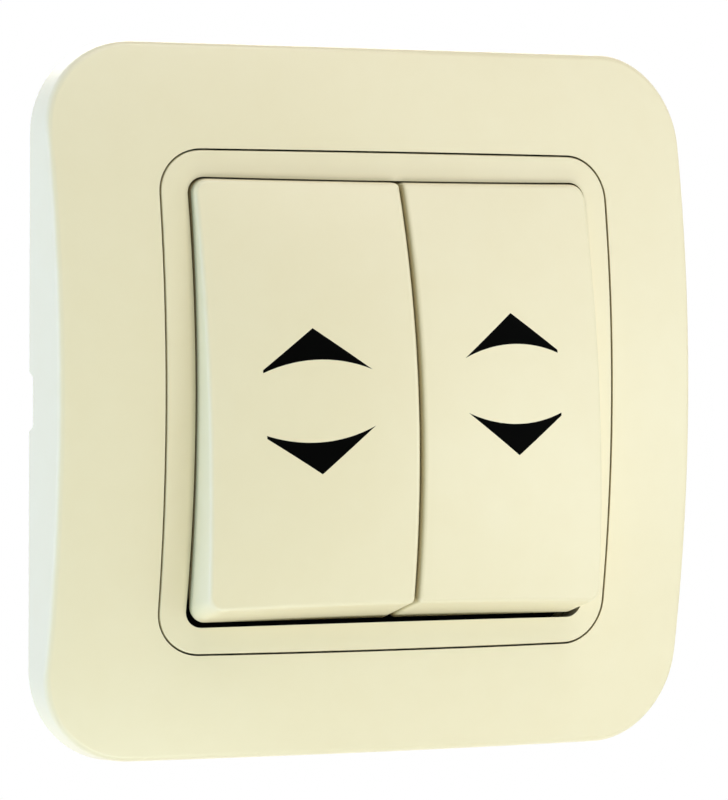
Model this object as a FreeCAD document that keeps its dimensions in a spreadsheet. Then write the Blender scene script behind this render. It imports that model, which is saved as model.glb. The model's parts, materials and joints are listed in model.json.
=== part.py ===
import FreeCAD, Part
import math
import os
import re

import Sketcher

# Double rocker switch insert with a domed cover frame, for a wall box with a
# 60 mm screw pitch. Millimetres. The object stands as it hangs on the wall:
# +X to the right, +Z up, the front faces -Y, and the wall is the plane y = 0.
# "Height" in a name means the distance in front of the wall, along -Y, and
# "depth" means the distance behind it, along +Y.

doc = FreeCAD.newDocument("intermediate_switch")
sizes = doc.addObject("Spreadsheet::Sheet", "sizes")

DRIVING_SIZES = [
    # cover frame
    ("plate_side", 82.0, "outside of the cover frame at the wall"),
    ("plate_corner", 10.7, "corner radius of the cover frame"),
    ("plate_draft", 3.0, "lean of the cover frame's side walls, degrees"),
    ("plate_edge_round", 0.9, "rounding between side wall and face"),
    ("plate_wall", 2.0, "side wall of the cover frame"),
    ("plate_face", 2.2, "face thickness of the cover frame"),
    ("dome_height", 12.61, "height of the pillow-shaped face at its centre"),
    ("dome_upright_fall", 5.875, "fall of the face from its centre to its upper edge"),
    ("dome_level_fall", 4.9, "fall of the face from its centre to its left edge"),
    ("notch_length", 6.8, "removal notch in the left wall, along the wall"),
    ("notch_depth", 1.0, "removal notch, away from the wall plane"),
    ("notch_slant", 0.6, "run of the notch's slanted ends"),
    ("joint_gap", 0.2, "gap between cover frame and trim ring"),
    ("ledge_width", 1.9, "ledge that the trim ring presses on"),
    ("ledge_thickness", 1.9, "thickness of that ledge"),
    ("collar_wall", 1.5, "collar round the cover frame's opening"),
    # trim ring
    ("trim_face", 3.2, "width of the trim ring's visible face"),
    ("trim_corner", 5.0, "outside corner radius of the trim ring"),
    ("trim_wall", 1.6, "skirt of the trim ring"),
    ("trim_lip", 2.0, "thickness of the trim ring's face"),
    ("opening_side", 50.6, "opening that the rockers stand in"),
    ("opening_corner", 2.0, "corner radius of that opening"),
    ("opening_draft", 6.0, "widening of the opening to the back, degrees"),
    ("joint_round", 0.2, "rounding of the trim ring's outer edge"),
    ("lip_flare", 15.0, "undercut behind the lip, degrees"),
    ("latch_thickness", 1.2, "latch legs of the trim ring"),
    ("latch_width", 5.0, "latch legs, along the side"),
    ("latch_place", 7.5, "latch legs, above and below the middle"),
    ("latch_hook", 0.7, "nose of a latch, towards the middle"),
    ("latch_hook_length", 1.6, "nose of a latch, along the depth"),
    ("latch_root", 8.0, "height where a latch leaves the ring"),
    ("latch_clearance", 0.05, "room between a latch leg and the opening's edge"),
    ("latch_play", 0.1, "play between hook and yoke"),
    ("latch_slot_play", 0.3, "play of a latch leg in its slot"),
    # yoke
    ("yoke_margin", 4.0, "room between the yoke and the cover frame's side walls"),
    ("yoke_corner", 4.0, "corner radius of the yoke"),
    ("yoke_thickness", 1.0, "sheet thickness of the yoke"),
    ("window_side_play", 0.3, "room between the yoke's window and the cheeks"),
    ("window_end_play", 1.0, "room between the yoke's window and the cradles' ends"),
    ("window_corner", 2.0, "corner radius of the window"),
    ("box_screw_pitch", 60.0, "spacing of the wall box screws"),
    ("box_screw_hole", 3.6, "diameter of the holes for them"),
    # rockers
    ("rocker_gap", 0.3, "gap between the two rocker caps"),
    ("rocker_side_gap", 0.27, "gap between a cap and the trim ring's side"),
    ("rocker_crest", 17.15, "height of a level cap at the joint of the caps"),
    ("rocker_upright_radius", 91.4, "curve of a cap from top to bottom"),
    ("rocker_side_drop", 3.2, "fall of the cap's middle from joint to outer side"),
    ("rocker_end_drop", 1.85, "the same fall at the section past the cap's ends"),
    ("rocker_section_overrun", 2.0, "distance of those sections past the cap's ends"),
    ("rocker_end_inset", 1.3, "upper edge of a level cap's face, inside the opening's edge"),
    ("rocker_end_lean", 10.5, "lean of the cap's end walls, degrees"),
    ("rocker_skirt", 6.5, "height of the cap's open back"),
    ("rocker_corner", 1.8, "rounding of the cap's outer upright edges"),
    ("rocker_joint_corner", 0.7, "rounding of the cap's inner upright edges"),
    ("rocker_edge_round", 0.6, "rounding round the cap's face"),
    ("cap_wall", 1.5, "wall of a cap"),
    ("rocker_tilt", 5.47, "tilt of a rocker either way, degrees"),
    ("gang_pitch", 25.0, "distance between the middles of the two rockers"),
    # marks
    ("mark_width", 12.9, "arrow mark"),
    ("mark_height", 4.9, "arrow mark"),
    ("mark_hollow", 1.3, "depth of the hollow base of an arrow mark"),
    ("mark_tip", 0.35, "blunt side tip of an arrow mark"),
    ("mark_point_shift", 0.35, "place of a mark's point, away from the joint of the caps"),
    ("mark_inlay", 0.4, "depth of the inlaid arrow mark"),
    ("left_up_across", -12.45, "middle of the mark from the joint of the caps"),
    ("left_up_base", 2.3, "base of the mark above the middle"),
    ("left_up_lean", 1.3, "lean of the mark, degrees"),
    ("left_down_across", -12.25, "middle of the mark from the joint of the caps"),
    ("left_down_base", -4.4, "base of the mark above the middle"),
    ("left_down_lean", 4.2, "lean of the mark, degrees"),
    ("right_up_across", 12.35, "middle of the mark from the joint of the caps"),
    ("right_up_base", 4.05, "base of the mark above the middle"),
    ("right_up_lean", 3.2, "lean of the mark, degrees"),
    ("right_down_across", 12.5, "middle of the mark from the joint of the caps"),
    ("right_down_base", -2.55, "base of the mark above the middle"),
    ("right_down_lean", 0.3, "lean of the mark, degrees"),
    # cradles
    ("pivot_height", 2.15, "height of the rockers' axis"),
    ("stub_radius", 1.4, "pivot stub of a cradle"),
    ("stub_play", 0.05, "radial play of a stub in its cheek"),
    ("cradle_width", 17.0, "plate of the cradle"),
    ("cradle_length", 24.0, "plate of the cradle"),
    ("cradle_front", 7.0, "height of the cradle plate's front"),
    ("cradle_plate", 2.0, "thickness of the cradle plate"),
    ("ear_thickness", 1.5, "ears that carry the stubs"),
    ("ear_width", 4.4, "ears that carry the stubs"),
    ("ear_end_height", 0.5, "height of the ears' back ends"),
    ("pole_pitch", 9.8, "distance between the two poles of one switch"),
    ("tube_radius", 2.3, "guide tube of a plunger"),
    ("tube_bore", 1.5, "bore radius of a guide tube"),
    ("tube_depth", 9.0, "depth of the guide tube's end"),
    ("tube_shoulder", 1.0, "shoulder that stops the plunger"),
    ("rib_thickness", 1.0, "ribs inside a cap"),
    ("rib_spread", 6.0, "long ribs inside a cap, from its middle"),
    ("rib_length", 22.0, "long ribs inside a cap"),
    ("clip_width", 4.0, "clips that hold a cap on its cradle"),
    ("clip_spread", 4.5, "clips, from the cap's middle"),
    ("clip_thickness", 1.1, "clips that hold a cap on its cradle"),
    ("clip_play", 0.1, "play round a clip"),
    ("clip_hook", 0.6, "nose of a clip, towards the middle"),
    ("clip_nose", 1.0, "nose of a clip, along the depth"),
    # plungers
    ("plunger_play", 0.05, "radial play of a plunger"),
    ("plunger_head", 2.5, "length of a plunger's head"),
    ("plunger_shank", 1.05, "radius of a plunger's shank"),
    ("tip_play", 0.05, "play between plunger and level lever"),
    ("coil_radius", 1.05, "mean radius of a plunger spring"),
    ("coil_wire", 0.3, "wire diameter of a plunger spring"),
    ("coil_turns", 8.0, "turns of a plunger spring"),
    # switch mechanism
    ("flange_side_rim", 2.1, "flange of the mechanism cover, past the base's sides"),
    ("flange_end_rim", 1.0, "flange of the mechanism cover, past the base's ends"),
    ("flange_chamfer", 4.5, "corner chamfer of the flange"),
    ("flange_thickness", 1.6, "flange of the mechanism cover"),
    ("cheek_gap", 0.2, "play between an ear and its cheek"),
    ("cheek_thickness", 1.5, "bearing cheeks of the mechanism cover"),
    ("cheek_width", 8.0, "bearing cheeks of the mechanism cover"),
    ("cheek_height", 4.2, "height of the bearing cheeks"),
    ("tube_slot_height", 6.8, "slot for the guide tubes"),
    ("tube_slot_width", 15.4, "slot for the guide tubes"),
    ("base_chamfer", 1.5, "corner chamfer of the base"),
    ("base_wall", 1.5, "walls of the base"),
    ("base_floor", 2.0, "floor of the base"),
    ("link_room", 2.6, "room between the lower links and the base's floor"),
    ("screw_head", 2.0, "head radius of a housing screw"),
    ("screw_head_height", 1.2, "head of a housing screw"),
    ("screw_shank", 1.1, "shank radius of a housing screw"),
    ("screw_reach", 12.0, "depth of a housing screw's end"),
    ("screw_play", 0.05, "radial play of a screw"),
    ("screw_slot", 0.6, "driver slot of a screw head"),
    ("post_radius", 2.2, "screw posts in the base"),
    # contacts
    ("lever_tilt", 6.0, "tilt of a contact lever either way, degrees"),
    ("lever_thickness", 0.8, "contact lever"),
    ("lever_width", 3.6, "contact lever"),
    ("lever_overhang", 0.3, "contact lever past its contacts"),
    ("fulcrum_depth", 16.0, "depth of the levers' axis, the middle of a fulcrum's round edge"),
    ("fulcrum_play", 0.05, "play between lever and fulcrum"),
    ("fulcrum_width", 2.6, "width of a fulcrum"),
    ("guide_tab", 0.4, "thickness of the tabs that keep a lever on its fulcrum"),
    ("guide_tab_length", 1.2, "reach of those tabs"),
    ("guide_tab_play", 0.1, "play beside a fulcrum"),
    ("contact_arm", 8.0, "contacts above and below the fulcrum"),
    ("contact_head", 0.7, "height of a contact's head"),
    ("contact_rim", 0.4, "height of the moving contact's rim"),
    ("contact_radius", 1.3, "radius of a moving contact"),
    ("contact_flat", 0.5, "radius of a moving contact's flat"),
    ("contact_play", 0.04, "gap between closed contacts"),
    ("contact_shank", 0.6, "shank radius of the contacts"),
    ("contact_tail", 0.2, "riveted tail of the contacts"),
    ("contact_tail_radius", 1.0, "riveted tail of the contacts"),
    ("fixed_contact_radius", 1.6, "radius of a fixed contact"),
    ("strip_thickness", 0.8, "brass strips"),
    ("strip_width", 4.0, "brass strips at the terminals"),
    ("link_width", 2.6, "crossing part of a link"),
    ("link_step", 1.3, "distance between the two crossing links"),
    ("pad_radius", 2.2, "pads of a link"),
    ("strip_play", 0.3, "room between the outermost strips and the side walls"),
    ("tab_step", 3.0, "front end of a terminal tab behind its clamp spring's bend"),
    ("tab_play", 0.1, "play between a terminal tab and the housing wall"),
    ("wire_hole", 1.5, "radius of a wire entry"),
    ("entry_play", 0.1, "room between a wire entry and its terminal tab"),
    ("entry_wall", 0.35, "wall between a wire entry and its release slot"),
    ("release_offset", 0.65, "room between a release slot and the barrier"),
    ("release_width", 2.4, "release slot"),
    ("release_height", 1.1, "release slot"),
    ("clamp_thickness", 0.4, "clamp spring strip"),
    ("clamp_width", 3.6, "clamp spring strip"),
    ("clamp_reach", 7.8, "length of a clamp spring from its foot to its bend"),
    ("clamp_foot_step", 0.8, "foot of a clamp spring in front of the barrier's back edge"),
    ("clamp_tip_step", 0.8, "tip of a clamp spring in front of its foot"),
    ("barrier_play", 0.4, "room between the links' pads and the barrier to the terminals"),
    ("barrier_wall", 0.8, "thickness of that barrier"),
    ("barrier_front", 4.0, "depth of the barrier's front edge"),
    ("barrier_gap", 0.28, "room between the barrier and the links that pass behind it"),
    ("partition_wall", 1.5, "partition between the two switches"),
    ("pillar_across", 1.6, "pillars under the links, from the gang's middle"),
    ("pillar_up", 2.6, "pillars under the links, above the middle"),
    ("pillar_width", 1.8, "pillars under the links"),
    ("rivet_play", 0.15, "gap between a pillar and a riveted tail"),
    # cutting shapes
    ("overrun", 1.0, "how far a cutting shape runs past what it cuts"),
]

# Sizes worked out from the driving ones, written once for every piece.
DERIVED_SIZES = [
    ("dome_upright_radius",
     "(plate_side * plate_side / 4 + dome_upright_fall * dome_upright_fall)"
     " / (2 * dome_upright_fall)"),
    ("dome_level_radius",
     "(plate_side * plate_side / 4 + dome_level_fall * dome_level_fall)"
     " / (2 * dome_level_fall)"),
    ("ledge_top", "yoke_thickness + ledge_thickness"),
    ("trim_side", "opening_side + 2 * trim_face"),
    ("opening_half", "opening_side / 2"),
    ("opening_edge_height",
     "dome_height - dome_upright_radius"
     " + sqrt(dome_upright_radius * dome_upright_radius - opening_half * opening_half)"),
    ("rocker_outer", "opening_half - rocker_side_gap"),
    ("rocker_inner", "rocker_gap / 2"),
    ("rocker_end", "opening_half - rocker_end_inset"),
    ("rocker_section_reach", "rocker_end + rocker_section_overrun"),
    ("rocker_end_height",
     "rocker_crest - rocker_end * rocker_end / (2 * rocker_upright_radius)"),
    ("latch_inner", "opening_half + latch_clearance"),
    ("cradle_back", "cradle_front - cradle_plate"),
    ("cheek_inner", "cradle_width / 2 + cheek_gap"),
    ("yoke_side", "plate_side - 2 * (plate_wall + yoke_margin)"),
    ("window_width", "gang_pitch + 2 * (cheek_inner + cheek_thickness + window_side_play)"),
    ("window_height", "cradle_length + 2 * window_end_play"),
    ("contact_depth", "fulcrum_depth + (contact_arm + contact_flat) * sin(lever_tilt)"
                      " + (contact_head - fulcrum_play - strip_thickness / 2) * cos(lever_tilt)"
                      " + contact_play"),
    ("upper_link_depth", "contact_depth + contact_head"),
    ("lower_link_depth", "upper_link_depth + link_step"),
    ("lever_back", "fulcrum_depth - strip_thickness / 2 - fulcrum_play"),
    ("lever_front", "lever_back - lever_thickness"),
    ("lever_reach", "contact_arm + contact_radius + lever_overhang"),
    ("tip_depth", "lever_front - tip_play"),
    ("head_depth", "tube_depth - tube_shoulder - plunger_head"),
    ("spring_front", "-cradle_back"),
    ("floor_depth", "lower_link_depth + strip_thickness + link_room"),
    ("base_depth", "floor_depth + base_floor"),
    ("barrier_place", "contact_arm + pad_radius + barrier_play"),
    ("barrier_back", "upper_link_depth - barrier_gap"),
    ("release_place", "barrier_place + barrier_wall + release_offset + release_height / 2"),
    ("wire_place", "release_place + release_height / 2 + entry_wall + wire_hole"),
    ("tab_outer", "wire_place + wire_hole + entry_play + strip_thickness"),
    ("base_inner_up", "tab_outer + tab_play"),
    ("base_height", "2 * (base_inner_up + base_wall)"),
    ("base_width", "gang_pitch + pole_pitch + strip_width + 2 * (strip_play + base_wall)"),
    ("flange_width", "base_width + 2 * flange_side_rim"),
    ("flange_height", "base_height + 2 * flange_end_rim"),
    ("clamp_foot", "barrier_back - clamp_foot_step"),
    ("clamp_tip", "clamp_foot - clamp_tip_step"),
    ("clamp_apex", "clamp_foot - clamp_reach"),
    ("tab_depth", "clamp_apex + tab_step"),
    ("screw_across", "gang_pitch / 2"),
    ("screw_up", "base_height / 2 - post_radius"),
]

ALIASES = {name for name, value, note in DRIVING_SIZES} | {name for name, text in DERIVED_SIZES}


def formula(text):
    """The text of a formula with every size's name pointed at the sheet."""
    def point(match):
        word = match.group(0)
        return "sizes." + word if word in ALIASES else word
    return re.sub(r"[a-z_]+", point, str(text))


def number(text):
    """The value of a formula, now."""
    return float(sizes.evalExpression(formula(text)))


for row, (name, value, note) in enumerate(DRIVING_SIZES, start=1):
    sizes.set(f"A{row}", name)
    sizes.set(f"B{row}", str(value))
    sizes.set(f"C{row}", note)
    sizes.setAlias(f"B{row}", name)
for row, (name, text) in enumerate(DERIVED_SIZES, start=len(DRIVING_SIZES) + 1):
    sizes.set(f"A{row}", name)
    sizes.set(f"B{row}", "=" + text)
    sizes.setAlias(f"B{row}", name)
doc.recompute()

kept = []
fresh_names = {}


def fresh(stem):
    """A name that no other object has."""
    fresh_names[stem] = fresh_names.get(stem, 0) + 1
    return f"{stem}_{fresh_names[stem]}"


def keep(part, label):
    """Marks an object as one finished piece of the switch."""
    part.Label = label
    kept.append(part)
    return part


def bind(target, path, text):
    target.setExpression(path, formula(text))


# Sketches and features

def body(stem):
    return doc.addObject("PartDesign::Body", fresh(stem))


def sketch_on(owner, plane, away="0", shift_across="0", shift_up="0"):
    """A sketch on one of the body's own origin planes, moved off it by formulas."""
    sketch = owner.newObject("Sketcher::SketchObject", fresh("sketch"))
    support = next(item for item in owner.Origin.OriginFeatures if item.Role == plane)
    sketch.AttachmentSupport = [(support, "")]
    sketch.MapMode = "FlatFace"
    bind(sketch, "AttachmentOffset.Base.x", shift_across)
    bind(sketch, "AttachmentOffset.Base.y", shift_up)
    bind(sketch, "AttachmentOffset.Base.z", away)
    return sketch


def pin_one(sketch, kind, geometry, point, text):
    """Fixes one coordinate of a point of the sketch by a formula."""
    index = sketch.addConstraint(
        Sketcher.Constraint(kind, -1, 1, geometry, point, number(text)))
    sketch.setExpression(f"Constraints[{index}]", formula(text))


def pin(sketch, geometry, point, across, up):
    """Fixes a point of the sketch by two formulas."""
    pin_one(sketch, "DistanceX", geometry, point, across)
    pin_one(sketch, "DistanceY", geometry, point, up)


def bound_radius(sketch, geometry, text):
    index = sketch.addConstraint(Sketcher.Constraint("Radius", geometry, number(text)))
    sketch.setExpression(f"Constraints[{index}]", formula(text))


def outline(sketch, points):
    """Straight lines round a closed outline, each corner a pair of formulas."""
    first = sketch.GeometryCount
    count = len(points)
    places = [FreeCAD.Vector(number(across), number(up), 0) for across, up in points]
    for index in range(count):
        end = places[(index + 1) % count]
        sketch.addGeometry(Part.LineSegment(places[index], end), False)
    for index in range(count):
        following = first + (index + 1) % count
        sketch.addConstraint(Sketcher.Constraint("Coincident", first + index, 2, following, 1))
    for index, (across, up) in enumerate(points):
        pin(sketch, first + index, 1, across, up)


def circle(sketch, across, up, radius):
    index = sketch.addGeometry(Part.Circle(
        FreeCAD.Vector(number(across), number(up), 0), FreeCAD.Vector(0, 0, 1),
        number(radius)), False)
    pin(sketch, index, 3, across, up)
    bound_radius(sketch, index, radius)


def rectangle(sketch, width, height, across="0", up="0"):
    outline(sketch, [
        (f"{across} - ({width}) / 2", f"{up} - ({height}) / 2"),
        (f"{across} + ({width}) / 2", f"{up} - ({height}) / 2"),
        (f"{across} + ({width}) / 2", f"{up} + ({height}) / 2"),
        (f"{across} - ({width}) / 2", f"{up} + ({height}) / 2"),
    ])


def pad(owner, sketch, length, middle=False, draft=None):
    feature = owner.newObject("PartDesign::Pad", fresh("pad"))
    feature.Profile = sketch
    feature.Midplane = middle
    bind(feature, "Length", length)
    if draft:
        bind(feature, "TaperAngle", draft)
    doc.recompute()
    return feature


def pocket(owner, sketch):
    """Cuts a sketch through everything, both ways."""
    before = owner.Tip.Shape.Volume
    feature = owner.newObject("PartDesign::Pocket", fresh("pocket"))
    feature.Profile = sketch
    feature.Type = "ThroughAll"
    feature.Midplane = True
    doc.recompute()
    if feature.Shape.Volume >= before:
        raise RuntimeError(feature.Name + " cuts nothing")
    return feature


def fillet(owner, edges, radius):
    """Rounds edges of the body's last feature, given by their numbers."""
    base = owner.Tip
    feature = owner.newObject("PartDesign::Fillet", fresh("fillet"))
    feature.Base = (base, [f"Edge{edge}" for edge in edges])
    bind(feature, "Radius", radius)
    doc.recompute()
    return feature


def edges_along(shape, axis):
    """Numbers of the straight edges that run nearly along an axis."""
    found = []
    for edge_number, edge in enumerate(shape.Edges, start=1):
        run = edge.valueAt(edge.LastParameter) - edge.valueAt(edge.FirstParameter)
        if run.Length > 0 and abs(run.normalize().dot(axis)) > 0.95:
            found.append(edge_number)
    return found


ALONG_X = FreeCAD.Vector(1, 0, 0)
ALONG_Y = FreeCAD.Vector(0, 1, 0)


def front_face_edges(shape):
    """Numbers of the edges round the face that lies furthest to the front."""
    face = min(shape.Faces, key=lambda item: item.CenterOfMass.y)
    return [edge_number for edge_number, edge in enumerate(shape.Edges, start=1)
            if any(edge.isSame(other) for other in face.Edges)]


def rounded_block(stem, width, height, corner, low, high, draft=None):
    """A block seen from the front as a rounded rectangle, between two heights."""
    owner = body(stem)
    sketch = sketch_on(owner, "XZ_Plane", away=low)
    rectangle(sketch, width, height)
    feature = pad(owner, sketch, f"{high} - ({low})", draft=draft)
    fillet(owner, edges_along(feature.Shape, ALONG_Y), corner)
    return owner


def dome_cut(owner, crest):
    """Takes away all in front of a pillow-shaped surface of the given height.

    Its upright profile, an arc, turns about an upright axis behind the wall.
    """
    sketch = sketch_on(owner, "YZ_Plane", shift_across=f"dome_level_radius - ({crest})")
    reach = "(plate_side * 0.53)"
    centre = "dome_upright_radius - dome_level_radius"
    front = "-dome_level_radius - dome_height - 2 * overrun"
    half_angle = math.asin(number(f"{reach} / dome_upright_radius"))
    arc = Part.ArcOfCircle(
        Part.Circle(FreeCAD.Vector(number(centre), 0, 0), FreeCAD.Vector(0, 0, 1),
                    number("dome_upright_radius")), math.pi - half_angle, math.pi + half_angle)
    sketch.addGeometry(arc, False)
    end = f"{centre} - sqrt(dome_upright_radius * dome_upright_radius - {reach} * {reach})"
    corners = [FreeCAD.Vector(number(across), number(up), 0) for across, up in (
        (end, f"-{reach}"), (front, f"-{reach}"), (front, reach), (end, reach))]
    for start, stop in zip(corners, corners[1:]):
        sketch.addGeometry(Part.LineSegment(start, stop), False)
    for this, following in ((0, 1), (1, 2), (2, 3), (3, 0)):
        sketch.addConstraint(Sketcher.Constraint("Coincident", this, 2, following, 1))
    bound_radius(sketch, 0, "dome_upright_radius")
    pin(sketch, 0, 3, centre, "0")
    pin(sketch, 2, 1, front, f"-{reach}")
    pin(sketch, 2, 2, front, reach)
    for point, up in ((1, reach), (2, f"-{reach}")):
        pin_one(sketch, "DistanceY", 0, point, up)
    before = owner.Tip.Shape.Volume
    groove = owner.newObject("PartDesign::Groove", fresh("groove"))
    groove.Profile = sketch
    groove.ReferenceAxis = (sketch, ["V_Axis"])
    groove.Midplane = True
    bind(groove, "Angle", "2.4 * asin(plate_side / 2 / dome_level_radius)")
    doc.recompute()
    if groove.Shape.Volume >= before:
        raise RuntimeError("the dome cuts nothing")
    return groove


# Plain solids and booleans

def box(stem, x_range, y_range, z_range):
    """A box between pairs of formulas."""
    solid = doc.addObject("Part::Box", fresh(stem))
    for path, (low, high) in zip(("Length", "Width", "Height"), (x_range, y_range, z_range)):
        bind(solid, path, f"({high}) - ({low})")
    for path, (low, high) in zip("xyz", (x_range, y_range, z_range)):
        bind(solid, "Placement.Base." + path, low)
    return solid


def rod(stem, radius, across, up, front, back):
    """A round rod along Y between two depths."""
    solid = doc.addObject("Part::Cylinder", fresh(stem))
    bind(solid, "Radius", radius)
    bind(solid, "Height", f"({back}) - ({front})")
    solid.Placement.Rotation = FreeCAD.Rotation(FreeCAD.Vector(1, 0, 0), -90)
    bind(solid, "Placement.Base.x", across)
    bind(solid, "Placement.Base.y", front)
    bind(solid, "Placement.Base.z", up)
    return solid


def cross_rod(stem, radius, left, right, depth, up="0"):
    """A round rod along X between two places."""
    solid = doc.addObject("Part::Cylinder", fresh(stem))
    bind(solid, "Radius", radius)
    bind(solid, "Height", f"({right}) - ({left})")
    solid.Placement.Rotation = FreeCAD.Rotation(FreeCAD.Vector(0, 1, 0), 90)
    bind(solid, "Placement.Base.x", left)
    bind(solid, "Placement.Base.y", depth)
    bind(solid, "Placement.Base.z", up)
    return solid


def cut(base, *tools):
    for tool in tools:
        result = doc.addObject("Part::Cut", fresh("cut"))
        result.Base = base
        result.Tool = tool
        base = result
    doc.recompute()
    return base


def fuse(*pieces):
    result = doc.addObject("Part::MultiFuse", fresh("fuse"))
    result.Shapes = list(pieces)
    result.Refine = True
    doc.recompute()
    return result


def common(first, second):
    result = doc.addObject("Part::Common", fresh("common"))
    result.Base = first
    result.Tool = second
    doc.recompute()
    return result


def group(*pieces):
    """Separate solids kept together as one piece, such as a set of screws."""
    result = doc.addObject("Part::Compound", fresh("group"))
    result.Links = list(pieces)
    doc.recompute()
    return result


def tilt(part, angle, depth):
    """Turns a piece about the X-parallel axis at y = depth, z = 0."""
    part.Placement = FreeCAD.Placement(
        FreeCAD.Vector(0, 0, 0), FreeCAD.Rotation(ALONG_X, number(angle)))
    bind(part, "Placement.Rotation.Angle", angle)
    bind(part, "Placement.Base.y", f"({depth}) * (1 - cos({angle}))")
    bind(part, "Placement.Base.z", f"-({depth}) * sin({angle})")
    return part


def strip(stem, across, width, points):
    """A bent strip: its side view, pairs of depth and place up, made wide along X."""
    owner = body(stem)
    sketch = sketch_on(owner, "YZ_Plane", away=across)
    outline(sketch, points)
    pad(owner, sketch, width, middle=True)
    return owner


def plate(stem, front, thickness, points):
    """A flat piece: its front view, made thick along Y from the depth of its front."""
    owner = body(stem)
    sketch = sketch_on(owner, "XZ_Plane", away=f"-({front}) - ({thickness})")
    outline(sketch, points)
    pad(owner, sketch, thickness)
    return owner


def chamfered_rectangle(width, height, chamfer):
    """Corner points of a rectangle with its corners cut off."""
    half_width, half_height = f"({width}) / 2", f"({height}) / 2"
    points = []
    for across_sign, up_sign in ((1, -1), (1, 1), (-1, 1), (-1, -1)):
        near_side = (f"{across_sign} * {half_width}", f"{up_sign} * ({half_height} - {chamfer})")
        near_end = (f"{across_sign} * ({half_width} - {chamfer})", f"{up_sign} * {half_height}")
        points += [near_end, near_side] if across_sign * up_sign < 0 else [near_side, near_end]
    return points


def span(sign, near, far):
    """A pair of formulas, low then high, for a range mirrored by a sign of -1."""
    return (near, far) if sign > 0 else (f"-({far})", f"-({near})")


SIDES = {"left": -1, "right": 1}
ENDS = {"up": 1, "down": -1}
POLES = {"first": -1, "second": 1}


def gang_middle(side):
    return f"{SIDES[side]} * gang_pitch / 2"


def pole_place(side, pole):
    return f"({gang_middle(side)} + {POLES[pole]} * pole_pitch / 2)"


# Cover frame: a pillow-shaped shell with a collar and a ledge round its opening

def cover_frame():
    shell = rounded_block("frame", "plate_side", "plate_side", "plate_corner",
                          "0", "dome_height + overrun", draft="-plate_draft")
    face = dome_cut(shell, "dome_height")
    fillet(shell, front_face_edges(face.Shape), "plate_edge_round")
    hollow_side = "plate_side - 2 * plate_wall"
    hollow = rounded_block("frame_hollow", hollow_side, hollow_side,
                           "plate_corner - plate_wall", "-overrun", "dome_height + overrun",
                           draft="-plate_draft")
    dome_cut(hollow, "dome_height - plate_face")
    seat_side = "(trim_side + 2 * joint_gap)"
    collar_side = f"{seat_side} + 2 * collar_wall"
    collar = rounded_block("frame_collar", collar_side, collar_side,
                           "trim_corner + joint_gap + collar_wall",
                           "yoke_thickness", "dome_height + 2 * overrun")
    seat = rounded_block("frame_seat", seat_side, seat_side, "trim_corner + joint_gap",
                         "ledge_top", "dome_height + 2 * overrun")
    throat_side = f"{seat_side} - 2 * ledge_width"
    throat = rounded_block("frame_throat", throat_side, throat_side,
                           "trim_corner + joint_gap - ledge_width", "-2 * overrun",
                           "dome_height + 2 * overrun")
    notch = body("frame_notch")
    sketch = sketch_on(notch, "YZ_Plane", away="-plate_side / 2")
    outline(sketch, [("overrun", "-notch_length / 2 - notch_slant"),
                     ("0", "-notch_length / 2"),
                     ("-notch_depth", "-notch_length / 2 + notch_slant"),
                     ("-notch_depth", "notch_length / 2 - notch_slant"),
                     ("0", "notch_length / 2"),
                     ("overrun", "notch_length / 2 + notch_slant")])
    pad(notch, sketch, "4 * plate_wall", middle=True)
    return cut(shell, cut(hollow, collar), seat, throat, notch)


keep(cover_frame(), "cover_frame")


# Trim ring: the inner frame, held by four latches behind the yoke

def lip_flare_tool(end):
    """Widens the opening behind its upper or lower edge, along the domed face."""
    owner = body("flare")
    sketch = sketch_on(owner, "YZ_Plane", shift_across="dome_level_radius - dome_height")
    edge_up = f"{ENDS[end]} * opening_half"
    edge = ("dome_upright_radius - dome_level_radius"
            " - sqrt(dome_upright_radius * dome_upright_radius - opening_half * opening_half)")
    back = "(trim_lip + overrun)"
    outline(sketch, [
        (edge, edge_up),
        (f"{edge} + {back}", f"{ENDS[end]} * (opening_half + {back} * tan(lip_flare))"),
        (f"{edge} + {back}", f"{ENDS[end]} * (opening_half - opening_corner)"),
        (edge, f"{ENDS[end]} * (opening_half - opening_corner)")])
    turned = owner.newObject("PartDesign::Revolution", fresh("revolution"))
    turned.Profile = sketch
    turned.ReferenceAxis = (sketch, ["V_Axis"])
    turned.Midplane = True
    bind(turned, "Angle", "2 * asin((opening_half - opening_corner / 2)"
                          " / (dome_level_radius - trim_lip))")
    doc.recompute()
    return owner


def trim_ring():
    shell = rounded_block("trim", "trim_side", "trim_side", "trim_corner",
                          "ledge_top", "dome_height + overrun")
    face = dome_cut(shell, "dome_height")
    fillet(shell, front_face_edges(face.Shape), "joint_round")
    hollow_side = "trim_side - 2 * trim_wall"
    hollow = rounded_block("trim_hollow", hollow_side, hollow_side,
                           "trim_corner - trim_wall", "-overrun", "dome_height + overrun")
    dome_cut(hollow, "dome_height - trim_lip")
    back_side = "(opening_side + 2 * (opening_edge_height + 2 * overrun) * tan(opening_draft))"
    opening = rounded_block("trim_opening", back_side, back_side, "opening_corner",
                            "-2 * overrun", "dome_height + 2 * overrun", draft="-opening_draft")
    frame = cut(shell, hollow, opening, lip_flare_tool("up"), lip_flare_tool("down"))
    legs = []
    for across in SIDES.values():
        for up in ENDS.values():
            low = f"{up} * latch_place - latch_width / 2"
            high = f"{up} * latch_place + latch_width / 2"
            legs.append(box("latch", span(across, "latch_inner", "latch_inner + latch_thickness"),
                            ("-latch_root", "latch_play + latch_hook_length"), (low, high)))
            legs.append(box("latch_web", span(across, "latch_inner + latch_thickness / 2",
                                              "trim_side / 2 - trim_wall / 2"),
                            ("-latch_root", "-ledge_top"), (low, high)))
            legs.append(box("latch_nose", span(across, "latch_inner - latch_hook",
                                               "latch_inner + latch_thickness / 2"),
                            ("latch_play", "latch_play + latch_hook_length"), (low, high)))
    return fuse(frame, *legs)


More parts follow.
